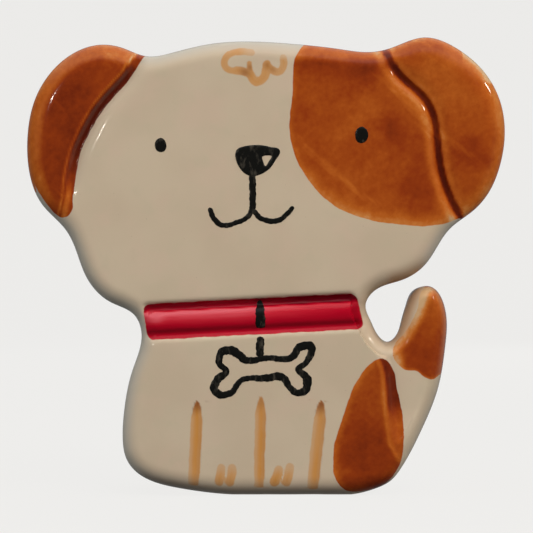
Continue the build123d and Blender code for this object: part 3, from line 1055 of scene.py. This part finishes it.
lip_right = [(-3.9, 87.2), (-1.9, 84.7), (0.9, 83.7), (3.3, 83.7), (6.1, 85.5), (8.4, 88.1)]
mouth = [
    ribbon([(-4.2, 97.9), (-4.05, 92), (-4.1, 86.9)], [2.1, 2.1, 2, 2], seed=0.4),
    ribbon(lip_left, [1.6, 1.5, 1.5, 1.7, 1.5], seed=1.3),
    ribbon(lip_right, [1.6, 1.6, 1.7, 1.5, 1.4], seed=2.1),
]
ink_piece("mouth_enamel", mouth, "mouth_line")
bone_line = [
    (6, 41.6), (0, 41.9), (-6.6, 41.5), (-8.6, 43.2), (-10.7, 44.2), (-13.2, 43.9), (-14.3, 41.8),
    (-13.5, 39.3), (-12, 37.9), (-13.6, 36.4), (-15.3, 34.5), (-15.8, 32.6), (-14.6, 31), (-12.4, 30.7),
    (-10, 31.9), (-8.2, 34.6), (-5.8, 35.7), (0, 35.8), (5.2, 35.9), (6.6, 34), (8.2, 32), (10.4, 31.3),
    (12.2, 32.5), (12.6, 34.8), (11.4, 37), (9.6, 38.4), (11.5, 39.9), (13.3, 42.4), (13.8, 45.2),
    (11.6, 45.7), (9.5, 44.4), (8, 42.2)
]
bone_widths = [2, 1.7, 1.9, 2.4, 2.8, 2.2, 1.8, 2.5, 2.5, 2, 1.7, 1.7, 2.3, 2.5, 1.9, 2.3, 2.8, 1.6,
               1.9, 2.7, 2.4, 2]
bone = [
    ribbon(bone_line, bone_widths, closed=True, seed=0.8),
    ribbon([(-1.6, 48.5), (-1.8, 46), (-1.9, 42.2)], [2.3, 2.5, 2.3], seed=2.2),
    ribbon([(-1.9, 59.6), (-1.8, 56.5), (-1.6, 50.9)], [1.6, 2.6, 3, 3], seed=1.1, rise=0.1),
]
ink_piece("bone_tag_enamel", bone, "bone_tag")

# ------------------------ stopper

rubber = Nodes("stopper_rubber")
cloud = rubber.ramp(rubber.noise(140, 3), 0.35, 0.7)
rubber.made(Base_Color=rubber.mix(cloud, srgb(196, 192, 182), srgb(182, 178, 168)), Roughness=0.55,
            Normal=rubber.bump(rubber.noise(900, 2), 0.00005, 0.5))
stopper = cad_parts["stopper"]
stopper.data.materials.clear()
stopper.data.materials.append(rubber.material)

# ------------------------ studio

# Half section of the backdrop as radius and height, in metres
bowl_section = [(0.1, 0), (0.8, 0), (1.6, 0), (2, 0.03), (2.3, 0.16), (2.45, 0.45), (2.5, 1), (2.5, 2.6)]
SECTORS = 96

bowl = smooth_line(bowl_section, 0.05)
around = np.linspace(0, 2 * math.pi, SECTORS + 1)[:-1]
middle = len(bowl) * SECTORS
floor_verts = [(r * math.cos(a), r * math.sin(a), max(z, 0.0)) for r, z in bowl for a in around] + [(0, 0, 0)]
floor_faces = [tuple(reversed(f)) for f in strips(len(bowl), SECTORS, SECTORS)]
floor_faces += [(middle, i, (i + 1) % SECTORS) for i in range(SECTORS)]
floor_mesh = bpy.data.meshes.new("studio_floor")
floor_mesh.from_pydata(floor_verts, [], floor_faces)
floor_mesh.shade_smooth()
floor = bpy.data.objects.new("studio_floor", floor_mesh)
bpy.context.scene.collection.objects.link(floor)
paper = Nodes("studio_paper")
paper.made(Base_Color=paper.mix(paper.noise(2), srgb(52, 52, 51), srgb(50, 50, 49)),
           Emission_Color=srgb(237, 236, 234), Emission_Strength=0.975,
           Specular_IOR_Level=0.0, Roughness=0.9)
# Seen from below, the paper lets the camera through to the foot of the object
either = paper.node("MixShader")
paper.put(either.inputs[0], paper.node("NewGeometry").outputs["Backfacing"])
paper.put(either.inputs[1], paper.shader.outputs[0])
paper.put(either.inputs[2], paper.node("BsdfTransparent").outputs[0])
paper.put(paper.out.inputs[0], either.outputs[0])
floor.data.materials.append(paper.material)
floor.location.z = -0.0002
floor.visible_diffuse = False
floor.visible_glossy = False
floor.visible_shadow = False

MIDDLE = Vector((0, 0, 0.07))

# Lamps: direction and distance from the middle, size, power, colour, and whether the glaze reflects them
WARM, PLAIN = (1.0, 0.92, 0.84), (1.0, 1.0, 1.0)
LAMPS = {
    "window_left": ((-0.485, -0.83, 0.28), 1.4, (0.05, 0.06), 0.8, (1.0, 0.95, 0.88), True),
    "window_right": ((0.83, -0.24, 0.5), 1.4, (0.1, 0.16), 2.6, (1.0, 0.93, 0.82), True),
    "front_fill": ((0.28, -0.72, 0.6), 1.5, (1.0, 0.7), 12.8, WARM, False),
    "left_fill": ((-0.8, -0.5, 0.3), 1.4, (0.9, 0.9), 5.0, (0.95, 0.98, 1.0), False),
    "right_fill": ((0.88, -0.48, 0.0), 1.4, (0.8, 0.8), 3.0, (1.0, 0.96, 0.92), False),
    "back_fill": ((0.3, 0.9, 0.35), 1.6, (0.9, 0.9), 6.0, PLAIN, False),
    "low_fill": ((0.2, 0.6, -0.8), 1.6, (0.9, 0.9), 3.0, PLAIN, False),
}
for name, (direction, away, size, power, color, reflected) in LAMPS.items():
    lamp = bpy.data.lights.new(name, "AREA")
    lamp.shape = "RECTANGLE"
    lamp.size, lamp.size_y = size
    lamp.energy = power
    lamp.color = color
    obj = bpy.data.objects.new(name, lamp)
    obj.location = MIDDLE + Vector(direction).normalized() * away
    obj.rotation_euler = (MIDDLE - obj.location).to_track_quat("-Z", "Y").to_euler()
    obj.visible_glossy = reflected
    bpy.context.scene.collection.objects.link(obj)

# Room light: a bright ceiling, a pale wall behind the object and a dim room behind the camera
world = bpy.data.worlds.new("studio_world")
world.use_nodes = True
tree = world.node_tree
where = tree.nodes.new("ShaderNodeTexCoord")
split = tree.nodes.new("ShaderNodeSeparateXYZ")
tree.links.new(where.outputs["Generated"], split.inputs[0])


def room(axis, low, high, dim, bright):
    part = tree.nodes.new("ShaderNodeMapRange")
    part.interpolation_type = "SMOOTHSTEP"
    for name, value in (("From Min", low), ("From Max", high), ("To Min", dim), ("To Max", bright)):
        part.inputs[name].default_value = value
    tree.links.new(split.outputs[axis], part.inputs["Value"])
    return part.outputs[0]


total = tree.nodes.new("ShaderNodeMath")
tree.links.new(room("Z", 0.45, 0.75, 0.04, 0.6), total.inputs[0])
tree.links.new(room("Y", -0.2, 0.8, 0.0, 0.16), total.inputs[1])
tree.links.new(total.outputs[0], tree.nodes["Background"].inputs[1])
tree.nodes["Background"].inputs[0].default_value = (0.92, 0.97, 1.0, 1)
bpy.context.scene.world = world

# Level with the middle of the object, far enough away to take in VIEW_WIDTH mm just behind its front
LENS, SENSOR = 200, 36
VIEW_WIDTH = 163.2823
VIEW_PLANE = -19.5
camera_data = bpy.data.cameras.new("camera")
camera_data.lens = LENS
camera_data.sensor_width = SENSOR
camera_data.clip_end = 20
camera = bpy.data.objects.new("camera", camera_data)
camera.location = (0.15 * MM, (VIEW_PLANE - VIEW_WIDTH * LENS / SENSOR) * MM, 69.8 * MM)
camera.rotation_euler = (math.radians(90), 0, 0)
bpy.context.scene.collection.objects.link(camera)
bpy.context.scene.camera = camera
bpy.context.scene.view_settings.view_transform = "Standard"
